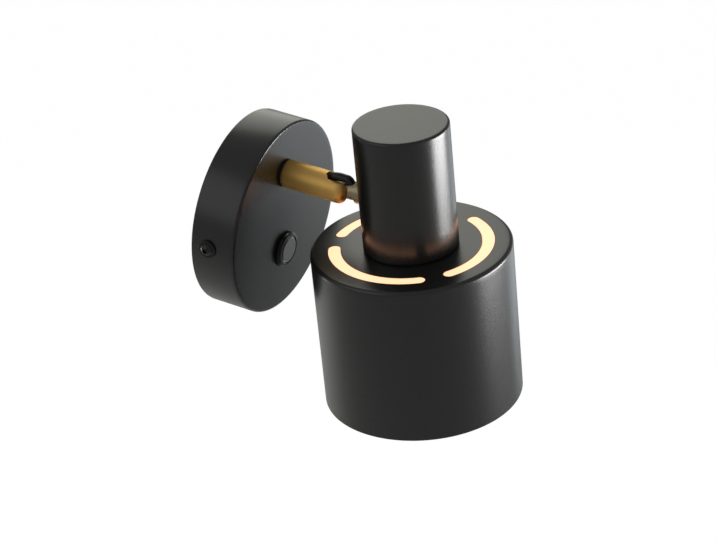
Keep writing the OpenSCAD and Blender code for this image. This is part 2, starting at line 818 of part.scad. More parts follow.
// Switched live core from the switch to the lead
module live_wire()
    color("#7a4a2b")
        tube(core_route(1, [
            [-block_side * 0.6, -tail_out * 0.75, arm_rise * 0.7],
            [-block_side * 0.6, -tail_out * 0.75, -switch_drop * 0.2],
            [-block_side * 0.45, -switch_back * 0.6, -switch_drop * 0.9],
            behind_blade(-1, -core_r) - [core_r + blade_t / 2, 0, 0]]), core_r, [1, 0, 0]);

// Live core from the terminal block to the switch
module switch_wire()
    color("#7a4a2b")
        tube(smooth_route([
            above_block(-1, -entry_depth / 2), above_block(-1, arm_rise / 16),
            [block_side * 0.45, -tail_out * 0.75, arm_rise * 0.4],
            [block_side * 0.3, -tail_out * 0.8, 0],
            [block_side * 0.4, -switch_back * 0.7, -switch_drop * 0.8],
            behind_blade(1, -core_r) + [core_r + blade_t / 2, 0, 0]], 5), core_r, [1, 0, 0]);

// Earth core from the earth screw to the lead
module earth_wire()
    color("#6c8a3a")
        tube(concat(core_route(0, [
            [-earth_side / 4, -tail_out * 0.6, arm_rise * 1.1],
            [-earth_side * 0.9, -tail_out * 0.6, arm_rise * 0.6],
            [-earth_side, -bracket_t - earth_head_h / 3, earth_head_d / 2 + 2 * core_d]]),
            [[-earth_side, -bracket_t - earth_head_h / 3, earth_head_d / 2 + fit_gap]]),
            core_r, [1, 0, 0]);

// Sheathed lead from behind the canopy's face, along the arm and up the sloping way to the fork
uphill = [cos(ramp_angle), sin(ramp_angle)];
bend_r = 4 * lead_d;
bend_start = ramp_foot - [bend_r * tan(ramp_angle / 2), 0];
bend_end = ramp_foot + bend_r * tan(ramp_angle / 2) * uphill;
arm_route = concat(
    straight([0, -tail_out, arm_rise], over_pivot(bend_start), 3),
    [for (i = [1:3]) over_pivot(bend_start
        + bend_r * [sin(ramp_angle * i / 4), 1 - cos(ramp_angle * i / 4)])],
    straight(over_pivot(bend_end), over_pivot(ramp_top), 2)
);
module arm_lead()
    color("#101010") tube(arm_route, lead_r, [1, 0, 0], 12);

// Flexible stretch of the lead that crosses over the pivot, with straight ends
knuckle_route = concat(
    [over_pivot(ramp_top + fit_gap * uphill)],
    smooth_route([
        over_pivot(ramp_top + lead_r * uphill),
        over_pivot([-crest[0] * 0.6, crest[1] * 0.88]),
        over_pivot([crest[0] * 0.2, crest[1] * 0.99]),
        over_pivot(crest),
        from_head([0, mouth_y, knuckle_rise]
            + 1.45 * lead_d * [0, cos(mouth_angle), sin(mouth_angle)]),
        from_head([0, mouth_y, knuckle_rise]
            + 0.6 * lead_d * [0, cos(mouth_angle), sin(mouth_angle)]),
        from_head([0, mouth_y - lead_r / 2, knuckle_rise])], 5),
    [from_head([0, neck_r + collar_t / 2 + fit_gap, knuckle_rise])]
);
module knuckle_lead()
    color("#101010") tube(knuckle_route, lead_r, [1, 0, 0], 12);

// Brass knuckle: the tab in the fork, the collar on the neck and the hollow threaded stem
module knuckle()
    color("#b9a77c")
        on_head()
            difference() {
                union() {
                    translate([-tab_t / 2, pivot_y, knuckle_rise])
                        rotate([0, 90, 0]) cylinder(d = tab_h, h = tab_t);
                    translate([-tab_t / 2, neck_r + collar_t / 2, knuckle_rise - tab_h / 2])
                        cube([tab_t, knuckle_reach - collar_t / 2, tab_h]);
                    translate([0, pivot_y - bar_start, knuckle_rise])
                        rotate([90, 0, 0])
                            cylinder(d = bar_d, h = knuckle_reach - bar_start - collar_t / 2);
                    difference() {
                        translate([0, neck_r + collar_t, knuckle_rise])
                            rotate([90, 0, 0]) cylinder(d = collar_d, h = 2 * collar_t);
                        translate([0, 0, knuckle_rise - collar_d])
                            cylinder(r = neck_r + fit_gap, h = 2 * collar_d);
                    }
                    translate([0, neck_r + collar_t / 2, knuckle_rise])
                        rotate([90, 0, 0])
                            cylinder(d = stem_d, h = neck_r + collar_t / 2 - stem_end);
                }
                translate([-tab_t, pivot_y, knuckle_rise])
                    rotate([0, 90, 0]) cylinder(d = pivot_d + 2 * fit_gap, h = 2 * tab_t);
                translate([0, mouth_y, knuckle_rise])
                    rotate([90, 0, 0])
                        cylinder(d = knuckle_bore_d, h = mouth_y - stem_end + cut);
                translate([0, mouth_y, knuckle_rise])
                    rotate([mouth_angle - 90, 0, 0])
                        translate([0, 0, -knuckle_bore_d / 2])
                            cylinder(d = knuckle_bore_d + 2 * hole_gap, h = 2 * tab_h);
            }

// Washer that is curved to the inside of the neck
module saddle_washer()
    color("#9a9a96")
        on_head()
            difference() {
                intersection() {
                    translate([0, neck_r, knuckle_rise])
                        rotate([90, 0, 0]) cylinder(d = saddle_washer_d, h = neck_r - washer_y);
                    translate([0, 0, knuckle_rise - saddle_washer_d])
                        cylinder(r = neck_in_r - fit_gap, h = 2 * saddle_washer_d);
                }
                translate([0, neck_r, knuckle_rise])
                    rotate([90, 0, 0])
                        cylinder(d = stem_d + 2 * hole_gap, h = neck_r - washer_y + cut);
            }

// Nut on the stem inside the neck
module stem_nut()
    color("#b98f47")
        on_head()
            translate([0, angle_y, knuckle_rise])
                rotate([90, 0, 0]) hex_nut(stem_nut_w, stem_d + 2 * fit_gap, stem_nut_t);

// Sheathed lead from the knuckle over a loop and down into the lampholder
head_route = concat(
    [[0, neck_r + collar_t / 2, knuckle_rise], [0, stem_end, knuckle_rise]],
    [for (a = [0:15:90]) [0, 3 * lead_loop_r - lead_loop_r * sin(a),
        knuckle_rise + lead_loop_r * (1 - cos(a))]],
    [for (a = [0:15:180]) [0, lead_loop_r * (1 + cos(a)),
        knuckle_rise + lead_loop_r * (1 + sin(a)) + lead_loop_rise]],
    [[0, 0, nipple_foot - lead_r]]
);
module head_lead()
    color("#101010") on_head() tube(head_route, lead_r, [1, 0, 0], 12);

// Narrow black neck over the lampholder
module neck()
    color("#2b2d2b")
        on_head()
            difference() {
                cup(neck_d, neck_h, neck_wall, neck_edge_r, neck_foot_r);
                translate([0, neck_r + cut, knuckle_rise])
                    rotate([90, 0, 0])
                        cylinder(d = stem_d + 2 * hole_gap, h = neck_wall * 2 + cut);
            }

// Steel angle that hangs the lampholder from the stem
module angle_bracket()
    color("silver")
        on_head()
            difference() {
                union() {
                    translate([-angle_w / 2, angle_y, holder_top])
                        cube([angle_w, angle_t, knuckle_rise - holder_top + stem_nut_w / 2]);
                    translate([-angle_w / 2, -nipple_d, holder_top])
                        cube([angle_w, nipple_d + angle_y + angle_t, angle_t]);
                }
                translate([0, neck_r, knuckle_rise])
                    rotate([90, 0, 0]) cylinder(d = stem_d + 2 * hole_gap, h = neck_r);
                translate([0, 0, holder_top - cut])
                    cylinder(d = nipple_d + 2 * hole_gap, h = angle_t + 2 * cut);
            }

// Hollow threaded nipple between the angle and the lampholder
module holder_nipple()
    color("#b98f47")
        on_head()
            translate([0, 0, nipple_foot])
                ring(nipple_d, nipple_bore_d, nipple_top - nipple_foot);

// Nut on the nipple
module nipple_nut()
    color("#b98f47")
        on_head()
            translate([0, 0, holder_top + angle_t])
                hex_nut(nipple_nut_w, nipple_d + 2 * fit_gap, nipple_nut_t);

// Conical cap of the lampholder
module lampholder_cap()
    color("#1d1d1d")
        on_head()
            rotate_extrude()
                difference() {
                    polygon([[0, holder_rise], [holder_r, holder_rise],
                        [holder_cap_top_d / 2, holder_top], [0, holder_top]]);
                    polygon([[0, holder_rise - cut], [holder_r - holder_cap_wall, holder_rise - cut],
                        [holder_r - holder_cap_wall, holder_rise],
                        [holder_cap_top_d / 2, nipple_foot], [0, nipple_foot]]);
                    square([nipple_d / 2 + fit_gap, holder_top + cut]);
                }

// Cores from the end of the lead to the lampholder's terminals
module lampholder_tails()
    color("#3e62a8")
        on_head()
            for (side = [-1, 1])
                tube([[side * core_r * 1.1, 0, nipple_foot - lead_r - fit_gap],
                    [side * core_r * 1.1, 0, nipple_foot - lead_r - core_r * 1.3],
                    [side * terminal_x, 0, holder_rise + terminal_h + core_r * 1.3],
                    [side * terminal_x, 0, holder_rise + terminal_h + fit_gap]],
                    core_r, [0, 1, 0]);

// Half distance and height of the lampholder's two terminals
terminal_x = holder_r / 3;
terminal_h = 0.5 * holder_rise;

// Two brass terminals on the lampholder's base
module lampholder_terminals()
    color("#c8a860")
        on_head()
            for (side = [-1, 1])
                translate([side * terminal_x - terminal_h / 2, -terminal_h / 2, holder_rise])
                    cube(terminal_h);

// Lampholder body: the skirt that carries the shade, and the sleeve around the screw shell
module lampholder_body()
    color("#1d1d1d")
        on_head()
            rotate_extrude()
                difference() {
                    union() {
                        translate([0, -holder_skirt])
                            square([holder_r, holder_skirt + holder_rise]);
                        square([holder_flange_d / 2, holder_flange_t]);
                    }
                    translate([0, -holder_skirt - cut])
                        square([sleeve_r, holder_skirt + shell_top + cut]);
                    translate([sleeve_r + sleeve_wall, -holder_skirt - cut])
                        square([holder_r - skirt_wall - sleeve_r - sleeve_wall,
                            holder_skirt - holder_base_t + cut]);
                }

// Threaded metal shell that the lamp screws into
module screw_shell()
    color("#c8a860")
        on_head()
            threaded_shell(thread_r, -holder_skirt + thread_pitch / 2, shell_top, thread_shell_t);

// Flat spring contact at the top of the screw shell
module centre_contact()
    color("#c8a860")
        on_head()
            translate([-thread_r / 2, -thread_r / 4, lamp_tip])
                cube([thread_r, thread_r / 2, contact_t]);

// Wide black shade with three curved slots in its top
module shade()
    color("#2b2d2b")
        on_head()
            difference() {
                translate([0, 0, -shade_h]) cup(shade_d, shade_h, shade_wall, shade_edge_r);
                translate([0, 0, -shade_wall - cut]) {
                    cylinder(r = holder_r + hole_gap, h = shade_wall + 2 * cut);
                    slot_arcs(slot_w, shade_wall + 2 * cut);
                }
            }

// Opal plate under the shade's top, with arcs that fill the slots
module slot_diffuser()
    color("#fff2c4")
        on_head() {
            translate([0, 0, diffuser_top - diffuser_t])
                ring(slot_mid_d + slot_w + 2 * diffuser_lap, holder_d + 2 * hole_gap, diffuser_t);
            translate([0, 0, diffuser_top - fit_gap])
                slot_arcs(slot_w - 2 * diffuser_gap, shade_wall - diffuser_drop + fit_gap);
        }

// Ring that screws onto the skirt and clamps the shade and the diffuser
module shade_ring()
    color("#1d1d1d")
        on_head()
            translate([0, 0, diffuser_top - diffuser_t - shade_ring_h])
                difference() {
                    ring(shade_ring_d, holder_d + 2 * fit_gap, shade_ring_h);
                    for (k = [0:ring_notches - 1])
                        rotate([0, 0, k * 360 / ring_notches])
                            translate([shade_ring_d / 2, 0, -cut])
                                cylinder(d = shade_ring_h / 2, h = shade_ring_h - cut);
                }

// Threaded metal cap of the lamp
module lamp_cap()
    color("#c9c9c4")
        on_head()
            threaded_shell(lamp_r, cap_foot, cap_top, thread_shell_t);

// Dark insulator at the end of the lamp's cap
module lamp_insulator()
    color("#201c1a")
        on_head()
            translate([0, 0, cap_top])
                cylinder(r1 = lamp_r - thread_depth / 2, r2 = lamp_r / 2, h = insulator_h);

// Contact pip of the lamp
module lamp_contact()
    color("#c9c9c4")
        on_head()
            translate([0, 0, lamp_tip - pip_h]) cylinder(r = lamp_r / 3, h = pip_h);

// Opal globe of the lamp with its tapered collar
module lamp_globe() {
    globe_r = bulb_d / 2;
    globe_z = lamp_tip - bulb_len + globe_r;
    collar_r = globe_r * 0.42;
    taper_r = globe_r * 0.8;
    color("#fff8e6")
        on_head()
            rotate_extrude()
                intersection() {
                    union() {
                        translate([0, globe_z]) circle(globe_r);
                        polygon([[0, globe_z], [taper_r, globe_z + globe_r * 0.6],
                            [collar_r, cap_foot - cut], [collar_r, cap_foot], [0, cap_foot]]);
                    }
                    translate([0, globe_z - globe_r])
                        square([bulb_d, cap_foot - globe_z + globe_r]);
                }
}

wall_bracket();
cable_grommet();
earth_screw();
terminal_block();
terminal_screws();
canopy();
canopy_washers();
canopy_screws();
arm_spacer();
arm();
arm_lock_washer();
arm_nut();
pivot_screw();
switch_housing();
switch_nut();
switch_contacts();
switch_spring();
switch_button();
neutral_wire();
live_wire();
switch_wire();
earth_wire();
arm_lead();
knuckle_lead();
knuckle();
saddle_washer();
stem_nut();
head_lead();
neck();
angle_bracket();
holder_nipple();
nipple_nut();
lampholder_cap();
lampholder_tails();
lampholder_terminals();
lampholder_body();
screw_shell();
centre_contact();
shade();
slot_diffuser();
shade_ring();
lamp_cap();
lamp_insulator();
lamp_contact();
lamp_globe();
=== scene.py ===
import bpy
import bmesh
import json
from math import asin, atan2, ceil, cos, degrees, pi, radians, sin
from mathutils import Matrix, Vector


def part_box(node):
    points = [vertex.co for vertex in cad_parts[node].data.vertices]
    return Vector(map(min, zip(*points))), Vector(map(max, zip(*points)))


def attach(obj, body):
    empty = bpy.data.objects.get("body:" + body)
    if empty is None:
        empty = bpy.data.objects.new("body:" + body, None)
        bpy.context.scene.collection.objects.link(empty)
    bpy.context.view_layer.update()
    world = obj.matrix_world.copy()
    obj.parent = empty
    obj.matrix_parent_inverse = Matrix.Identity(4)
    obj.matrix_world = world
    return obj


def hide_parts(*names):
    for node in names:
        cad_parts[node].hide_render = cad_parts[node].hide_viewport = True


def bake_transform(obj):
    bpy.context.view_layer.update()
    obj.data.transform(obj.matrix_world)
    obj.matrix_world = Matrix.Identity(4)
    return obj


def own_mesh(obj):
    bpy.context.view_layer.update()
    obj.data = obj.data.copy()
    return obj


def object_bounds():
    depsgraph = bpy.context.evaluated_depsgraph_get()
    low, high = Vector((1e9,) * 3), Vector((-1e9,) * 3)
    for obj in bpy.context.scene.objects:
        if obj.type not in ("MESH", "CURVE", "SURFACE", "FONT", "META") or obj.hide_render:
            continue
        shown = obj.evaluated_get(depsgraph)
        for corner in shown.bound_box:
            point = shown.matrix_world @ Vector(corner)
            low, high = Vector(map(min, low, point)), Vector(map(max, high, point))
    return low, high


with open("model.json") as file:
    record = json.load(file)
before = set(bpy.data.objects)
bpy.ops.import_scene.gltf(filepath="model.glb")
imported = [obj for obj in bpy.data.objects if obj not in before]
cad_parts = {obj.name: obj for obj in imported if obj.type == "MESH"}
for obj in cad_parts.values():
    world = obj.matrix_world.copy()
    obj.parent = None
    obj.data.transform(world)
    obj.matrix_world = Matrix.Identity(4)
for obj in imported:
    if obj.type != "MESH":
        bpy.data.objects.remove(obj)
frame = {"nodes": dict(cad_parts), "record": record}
cad_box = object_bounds()

MM = 0.001
RECORD_SLOT = {part["node"]: part["material_slot"] for part in frame["record"]["subparts"]}
BODIES = frame["record"]["behaviour"]["bodies"]
BODY_OF = {node: body for body, nodes in BODIES.items() for node in nodes}


def low(node, axis):
    """Lowest place of a node at rest along an axis, in millimetres."""
    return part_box(node)[0][axis] / MM


def high(node, axis):
    """Highest place of a node at rest along an axis, in millimetres."""
    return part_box(node)[1][axis] / MM


# Sizes in millimetres, read off the frame where its boxes give them
CANOPY_R = high("canopy", 0)
CANOPY_OUT = -low("canopy", 1)
CANOPY_WALL = 1.5

ARM_R = high("arm", 0)
ARM_Z = (low("arm", 2) + high("arm", 2)) / 2
ARM_FOOT = -low("arm_spacer", 1)
ARM_END_R = 5.8
PIVOT_OUT = -low("arm", 1) - ARM_R
STUB_R = 5.0
STUB_END = -high("arm", 1)
FORK_W = 5.4
FORK_BACK = 5.8
TAB_H = 7.2
COLLAR_T = 3.7
LEAD_D = 4.2
LEAD_WAY_R = 2.7
RAMP = radians(20)

NECK_R = high("neck", 0)
NECK_H = 64.3
NECK_WALL = 1.5
SHADE_R = high("shade", 0)
SHADE_H = 81.8
SHADE_WALL = 1.2
SLOT_MIDDLE = 37.65
SLOT_W = 6.0
SLOT_SPAN = 105.84
SLOT_COUNT = 3
GLOBE_D = 45.0
LAMP_L = 74.0
PIVOT_Y = NECK_R + 15.5
PIVOT_Z = 24.2
TILT = 7.6

SWITCH_Z = (low("switch_housing", 2) + high("switch_housing", 2)) / 2
SWITCH_BACK = -high("switch_housing", 1)
SWITCH_OUT = -low("switch_housing", 1)
SWITCH_FLOOR = SWITCH_BACK + 5.0
BUTTON_BACK = -high("switch_button", 1)
BUTTON_OUT = -low("switch_button", 1)

# Drawn standing up, then turned so that it points from the wall into the room
ROOM = Matrix.Rotation(pi / 2, 4, "X")
ON_ARM = Matrix.Translation((0, 0, ARM_Z * MM)) @ ROOM
ON_SWITCH = Matrix.Translation((0, 0, SWITCH_Z * MM)) @ ROOM
# Drawn on the head's own axis, with height 0 at the top of the shade
HEAD = (
    Matrix.Translation((0, -PIVOT_OUT * MM, ARM_Z * MM))
    @ Matrix.Rotation(radians(-TILT), 4, "X")
    @ Matrix.Translation((0, -PIVOT_Y * MM, -PIVOT_Z * MM))
)


# Finishes

def new_finish(name):
    """A new material with its nodes, its links and its main shader."""
    material = bpy.data.materials.new(name)
    material.use_nodes = True
    nodes = material.node_tree.nodes
    links = material.node_tree.links
    return material, nodes, links, nodes["Principled BSDF"]


def object_pattern(nodes, links, scale):
    """Object coordinates, stretched along the axes, for a pattern in the surface."""
    where = nodes.new("ShaderNodeTexCoord")
    stretch = nodes.new("ShaderNodeMapping")
    stretch.inputs["Scale"].default_value = scale
    links.new(where.outputs["Object"], stretch.inputs["Vector"])
    return stretch.outputs["Vector"]


def noise(nodes, links, vector, scale, detail=2.0):
    """An even cloudy pattern."""
    cloud = nodes.new("ShaderNodeTexNoise")
    cloud.inputs["Scale"].default_value = scale
    cloud.inputs["Detail"].default_value = detail
    links.new(vector, cloud.inputs["Vector"])
    return cloud.outputs["Fac"]


def spread(nodes, links, value, lowest, highest):
    """Maps a pattern onto a narrow range of values."""
    narrow = nodes.new("ShaderNodeMapRange")
    narrow.inputs["From Min"].default_value = 0.3
    narrow.inputs["From Max"].default_value = 0.7
    narrow.inputs["To Min"].default_value = lowest
    narrow.inputs["To Max"].default_value = highest
    links.new(value, narrow.inputs["Value"])
    return narrow.outputs["Result"]


def tint(nodes, links, value, dark, light):
    """Blends two close colours by a pattern."""
    # The Mix node has one set of sockets for each kind of value, and these are the colour ones
    first_color, second_color, color_result = 6, 7, 2
    mix = nodes.new("ShaderNodeMix")
    mix.data_type = "RGBA"
    mix.inputs[first_color].default_value = (*dark, 1)
    mix.inputs[second_color].default_value = (*light, 1)
    links.new(value, mix.inputs[0])
    return mix.outputs[color_result]


def relief(nodes, links, value, shader, strength, depth):
    """Lets a pattern stand up a little from the surface."""
    bump = nodes.new("ShaderNodeBump")
    bump.inputs["Strength"].default_value = strength
    bump.inputs["Distance"].default_value = depth
    links.new(value, bump.inputs["Height"])
    links.new(bump.outputs["Normal"], shader.inputs["Normal"])


def grained(name, dark, light, rough, grain=2500, relief_depth=0.00002, stretch=(1, 1, 1),
            metallic=0.0, specular=0.5, coat=0.0, strength=0.3):
    """A finish with fine grain in its colour, gloss and surface."""
    material, nodes, links, shader = new_finish(name)
    vector = object_pattern(nodes, links, stretch)
    fine = noise(nodes, links, vector, grain)
    broad = noise(nodes, links, vector, grain / 25, 3)
    links.new(tint(nodes, links, broad, dark, light), shader.inputs["Base Color"])
    links.new(spread(nodes, links, fine, *rough), shader.inputs["Roughness"])
    relief(nodes, links, fine, shader, strength, relief_depth)
    shader.inputs["Metallic"].default_value = metallic
    shader.inputs["Specular IOR Level"].default_value = specular
    shader.inputs["Coat Weight"].default_value = coat
    return material


def glowing(name, color, strength, base):
    """Warm opal plastic or glass with the light behind it, given as its own emission and a little
    uneven; on the plastic this emission is painted glow.
    """
    material, nodes, links, shader = new_finish(name)
    cloud = noise(nodes, links, object_pattern(nodes, links, (1, 1, 1)), 60, 3)
    links.new(tint(nodes, links, cloud, [0.97 * c for c in color], color),
              shader.inputs["Emission Color"])
    links.new(tint(nodes, links, cloud, [0.96 * c for c in base], base),
              shader.inputs["Base Color"])
    shader.inputs["Emission Strength"].default_value = strength
    shader.inputs["Roughness"].default_value = 0.4
    return material


FINISHES = {
    "black_paint": grained("black_paint", (0.010, 0.011, 0.010), (0.013, 0.014, 0.012),
                           (0.27, 0.33), specular=0.8),
    "satin_brass": grained("satin_brass", (0.93, 0.57, 0.165), (1.0, 0.64, 0.205),
                           (0.44, 0.52), grain=900, stretch=(1, 6, 1), metallic=1.0),
    "pale_brass": grained("pale_brass", (0.40, 0.35, 0.22), (0.48, 0.42, 0.28),
                          (0.32, 0.42), grain=1500, metallic=1.0),
    "bare_brass": grained("bare_brass", (0.52, 0.37, 0.14), (0.62, 0.45, 0.19),
                          (0.25, 0.38), grain=1200, metallic=1.0),
    "zinc_steel": grained("zinc_steel", (0.52, 0.53, 0.54), (0.62, 0.63, 0.64),
                          (0.30, 0.45), grain=600, stretch=(1, 1, 5), metallic=1.0),
    "dark_steel": grained("dark_steel", (0.045, 0.042, 0.038), (0.075, 0.07, 0.062),
                          (0.28, 0.40), grain=1500, metallic=1.0),
    "nickel_cap": grained("nickel_cap", (0.55, 0.53, 0.50), (0.64, 0.62, 0.58),
                          (0.22, 0.35), grain=1200, metallic=1.0),
    "black_rubber": grained("black_rubber", (0.008, 0.008, 0.008), (0.012, 0.012, 0.012),
                            (0.55, 0.70), grain=1800),
    "black_plastic": grained("black_plastic", (0.008, 0.008, 0.008), (0.011, 0.011, 0.011),
                             (0.38, 0.50), grain=1600),
    "gloss_black": grained("gloss_black", (0.005, 0.005, 0.006), (0.007, 0.007, 0.008),
                           (0.16, 0.22), grain=900, strength=0.1),
    "gloss_grey": grained("gloss_grey", (0.26, 0.27, 0.27), (0.32, 0.33, 0.33),
                          (0.12, 0.18), grain=700, strength=0.1, metallic=0.6, specular=1.0),
    "block_plastic": grained("block_plastic", (0.70, 0.68, 0.60), (0.80, 0.78, 0.70),
                             (0.40, 0.55), grain=1200),
    "black_sleeve": grained("black_sleeve", (0.006, 0.006, 0.006), (0.008, 0.008, 0.008),
                            (0.20, 0.28), grain=1500),
    "brown_sleeve": grained("brown_sleeve", (0.14, 0.05, 0.018), (0.18, 0.07, 0.024),
                            (0.35, 0.50), grain=1500),
    "blue_sleeve": grained("blue_sleeve", (0.02, 0.09, 0.36), (0.03, 0.13, 0.44),
                           (0.35, 0.50), grain=1500),
    # The slot diffuser is no lamp: its orange emission is painted glow standing in for the bulb's
    # light shining through it
    "opal_plastic": glowing("opal_plastic", (1.0, 0.50, 0.29), 1.65, (0.30, 0.27, 0.20)),
    "opal_globe": glowing("opal_globe", (1.0, 0.86, 0.60), 1.2, (0.30, 0.28, 0.24)),
    "dark_ceramic": grained("dark_ceramic", (0.018, 0.014, 0.011), (0.024, 0.018, 0.014),
                            (0.30, 0.45), grain=1500),
}


def striped_sleeve():
    """Green and yellow insulation."""
    material, nodes, links, shader = new_finish("green_sleeve")
    bands = nodes.new("ShaderNodeTexWave")
    bands.inputs["Scale"].default_value = 45
    bands.inputs["Distortion"].default_value = 0.0
    links.new(object_pattern(nodes, links, (1, 0.4, 1)), bands.inputs["Vector"])
    edge = spread(nodes, links, bands.outputs["Fac"], 0, 1)
    links.new(tint(nodes, links, edge, (0.03, 0.22, 0.03), (0.66, 0.52, 0.03)),
              shader.inputs["Base Color"])
    shader.inputs["Roughness"].default_value = 0.42
    return material


FINISHES["green_sleeve"] = striped_sleeve()


# Making pieces

# Edges bent by more than this many degrees are shaded sharp
SHARP = 34
# Points nearer than this, in metres, are one point
DOUBLES = 2e-7
# Extra rings this far beside a rounded edge, in millimetres, keep flat faces and straight walls even
FACE_RING, WALL_RING = 2.0, 1.5


def add_object(name, mesh):
    """Puts a mesh into the scene as an object at the origin."""
    piece = bpy.data.objects.new(name, mesh)
    bpy.context.scene.collection.objects.link(piece)
    return piece


def settle(piece):
    """Turns what the modifiers make into the object's own plain mesh."""
    graph = bpy.context.evaluated_depsgraph_get()
    mesh = bpy.data.meshes.new_from_object(piece.evaluated_get(graph))
    piece.modifiers.clear()
    piece.data = mesh


def tidy_mesh(mesh, sharp=SHARP):
    """Merges doubles, turns faces outwards and rounds the shading up to the sharp angle."""
    bm = bmesh.new()
    bm.from_mesh(mesh)
    bmesh.ops.remove_doubles(bm, verts=bm.verts, dist=DOUBLES)
    bmesh.ops.dissolve_degenerate(bm, edges=bm.edges, dist=DOUBLES)
    bmesh.ops.recalc_face_normals(bm, faces=bm.faces)
    bm.to_mesh(mesh)
    bm.free()
    if "custom_normal" in mesh.attributes:
        mesh.attributes.remove(mesh.attributes["custom_normal"])
    mesh.shade_smooth()
    mesh.set_sharp_from_angle(angle=radians(sharp))


def stand_for(piece, *nodes, finish=None):
    """The piece takes the place of CAD nodes, with their body, slot and finish."""
    slot = finish or RECORD_SLOT[nodes[0]]
    piece.data.materials.clear()
    piece.data.materials.append(FINISHES[slot])
    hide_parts(*nodes)
    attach(piece, BODY_OF[nodes[0]])
    return piece


def input_names(tree):
    """The identifier of each named input of a geometry tree."""
    return {item.name: item.identifier for item in tree.interface.items_tree
            if item.item_type == "SOCKET" and item.in_out == "INPUT"}


class Tree:
    """A small helper that adds and joins the nodes of one geometry tree."""

    def __init__(self, name, sockets):
        self.tree = bpy.data.node_groups.new(name, "GeometryNodeTree")
        face = self.tree.interface
        face.new_socket("Form", in_out="INPUT", socket_type="NodeSocketGeometry")
        for label, kind in sockets:
            face.new_socket(label, in_out="INPUT", socket_type=kind)
        face.new_socket("Finish", in_out="INPUT", socket_type="NodeSocketMaterial")
        face.new_socket("Form", in_out="OUTPUT", socket_type="NodeSocketGeometry")
        self.given = self.tree.nodes.new("NodeGroupInput").outputs
        self.out = self.tree.nodes.new("NodeGroupOutput").inputs

    def add(self, kind, settings=None, **joins):
        """A new node with its settings and its named inputs."""
        node = self.tree.nodes.new(kind)
        for key, value in (settings or {}).items():
            setattr(node, key, value)
        for key, value in joins.items():
            self.set(node.inputs[key.replace("_", " ")], value)
        return node

    def set(self, socket, value):
        """Joins a socket to another one, or gives it a plain value."""
        if isinstance(value, bpy.types.NodeSocket):
            self.tree.links.new(value, socket)
        else:
            socket.default_value = value

    def math(self, operation, a, b):
        node = self.tree.nodes.new("ShaderNodeMath")
        node.operation = operation
        self.set(node.inputs[0], a)
        self.set(node.inputs[1], b)
        return node.outputs[0]

    def close(self, form):
        """Ends the tree with a plain form in its finish."""
        real = self.add("GeometryNodeRealizeInstances", Geometry=form)
        dressed = self.add("GeometryNodeSetMaterial", Geometry=real.outputs[0],
                           Material=self.given["Finish"])
        self.tree.links.new(dressed.outputs[0], self.out[0])
        return self.tree


def turning_tree():
    """Turns a half section about the upright axis: each point becomes a ring."""
    t = Tree("turned_form", [("Segments", "NodeSocketInt")])
    count = t.add("GeometryNodeAttributeDomainSize", Geometry=t.given["Form"]).outputs[0]
    across = t.math("ADD", t.given["Segments"], 1)
    grid = t.add("GeometryNodeMeshGrid", Vertices_X=count, Vertices_Y=across)
    index = t.add("GeometryNodeInputIndex").outputs[0]
    ring = t.math("FLOOR", t.math("DIVIDE", t.math("ADD", index, 0.5), across), 0)
    step = t.math("SUBTRACT", index, t.math("MULTIPLY", ring, across))
    pick = t.add("GeometryNodeSampleIndex", {"data_type": "FLOAT_VECTOR", "clamp": True},
                 Geometry=t.given["Form"], Value=t.add("GeometryNodeInputPosition").outputs[0],
                 Index=ring)
    place = t.add("ShaderNodeSeparateXYZ", Vector=pick.outputs[0])
    angle = t.math("DIVIDE", t.math("MULTIPLY", step, 2 * pi), t.given["Segments"])
    x = t.math("MULTIPLY", place.outputs[0], t.math("COSINE", angle, 0))
    y = t.math("MULTIPLY", place.outputs[0], t.math("SINE", angle, 0))
    put = t.add("ShaderNodeCombineXYZ", X=x, Y=y, Z=place.outputs[2])
    moved = t.add("GeometryNodeSetPosition", Geometry=grid.outputs[0], Position=put.outputs[0])
    joined = t.add("GeometryNodeMergeByDistance", Geometry=moved.outputs[0], Distance=DOUBLES)
    return t.close(joined.outputs[0])


def lead_tree():
    """Sheath along a given route: a smooth curve with a round section."""
    t = Tree("sheathed_lead", [("Diameter", "NodeSocketFloat"), ("Rings", "NodeSocketInt"),
                               ("Sides", "NodeSocketInt")])
    line = t.add("GeometryNodeMeshToCurve", Mesh=t.given["Form"])
    curved = t.add("GeometryNodeCurveSplineType", {"spline_type": "CATMULL_ROM"},
                   Curve=line.outputs[0])
    fine = t.add("GeometryNodeSetSplineResolution", Geometry=curved.outputs[0], Resolution=12)
    even = t.add("GeometryNodeResampleCurve", Curve=fine.outputs[0], Count=t.given["Rings"])
    section = t.add("GeometryNodeCurvePrimitiveCircle", Resolution=t.given["Sides"],
                    Radius=t.math("DIVIDE", t.given["Diameter"], 2))
    swept = t.add("GeometryNodeCurveToMesh", Curve=even.outputs[0],
                  Profile_Curve=section.outputs[0])
    swept.inputs["Fill Caps"].default_value = True
    return t.close(swept.outputs[0])


def fixing_tree():
    """Puts a copy of one made fixing on each point, turned as the point's own turn says."""
    t = Tree("placed_fixings", [("Fixing", "NodeSocketObject")])
    one = t.add("GeometryNodeObjectInfo", {"transform_space": "ORIGINAL"},
                Object=t.given["Fixing"])
    turn = t.add("GeometryNodeInputNamedAttribute", {"data_type": "FLOAT_VECTOR"}, Name="turn")
    placed = t.add("GeometryNodeInstanceOnPoints", Points=t.given["Form"],
                   Instance=one.outputs["Geometry"], Rotation=turn.outputs[0])
    return t.close(placed.outputs[0])


